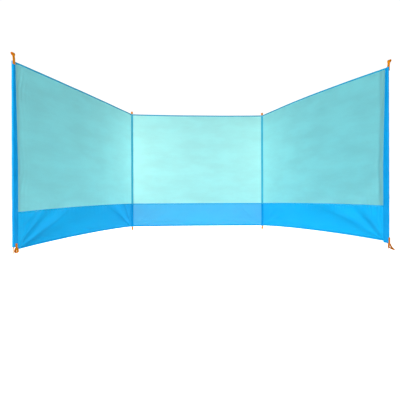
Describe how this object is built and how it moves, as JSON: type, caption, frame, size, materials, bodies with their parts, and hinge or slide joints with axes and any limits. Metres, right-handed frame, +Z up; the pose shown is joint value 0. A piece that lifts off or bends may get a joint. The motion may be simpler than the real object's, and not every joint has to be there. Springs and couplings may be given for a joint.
{
  "type": "beach windbreak",
  "caption": "Cloth windbreak in bays on sleeved poles, with both end bays turned forward, an opaque skirt, and webbing loops for guy lines and pegs.",
  "frame": {"origin": "on the ground, at the centre of the foot of the left inner pole", "axes": "+X along the centre bay from the left inner pole to the right one, -Y to the sheltered side, +Z up"},
  "size_m": [2.9554, 1.6063, 1.516],
  "materials": {
    "upper_cloth": "thin woven polyester, aqua, lets light through",
    "skirt_cloth": "coated woven polyester, blue, slight sheen",
    "sleeve_cloth": "coated woven polyester, blue",
    "binding": "folded tape over the top edge, blue",
    "hem": "turned hem, blue",
    "seam_tape": "felled seam, blue",
    "webbing": "woven webbing, orange",
    "pole_steel": "thin steel tube, pale grey",
    "spike_steel": "zinc plated",
    "plastic": "moulded, black"
  },
  "bodies": {
    "root": {"left_end_pole": "pole_steel", "left_inner_pole": "pole_steel", "right_inner_pole": "pole_steel", "right_end_pole": "pole_steel", "left_end_pole_cap": "plastic", "left_inner_pole_cap": "plastic", "right_inner_pole_cap": "plastic", "right_end_pole_cap": "plastic", "left_end_ground_spike": "spike_steel", "left_inner_ground_spike": "spike_steel", "right_inner_ground_spike": "spike_steel", "right_end_ground_spike": "spike_steel", "left_end_sleeve": "sleeve_cloth", "left_inner_sleeve": "sleeve_cloth", "right_inner_sleeve": "sleeve_cloth", "right_end_sleeve": "sleeve_cloth", "left_wing_panel": "upper_cloth", "centre_panel": "upper_cloth", "right_wing_panel": "upper_cloth", "left_wing_skirt": "skirt_cloth", "centre_skirt": "skirt_cloth", "right_wing_skirt": "skirt_cloth", "left_wing_binding": "binding", "centre_binding": "binding", "right_wing_binding": "binding", "left_wing_hem": "hem", "centre_hem": "hem", "right_wing_hem": "hem", "left_wing_seam_tape": "seam_tape", "centre_seam_tape": "seam_tape", "right_wing_seam_tape": "seam_tape", "left_end_guy_loop": "webbing", "left_inner_guy_loop": "webbing", "right_inner_guy_loop": "webbing", "right_end_guy_loop": "webbing", "left_end_peg_loop": "webbing", "left_inner_peg_loop": "webbing", "right_inner_peg_loop": "webbing", "right_end_peg_loop": "webbing"}
  },
  "joints": []
}
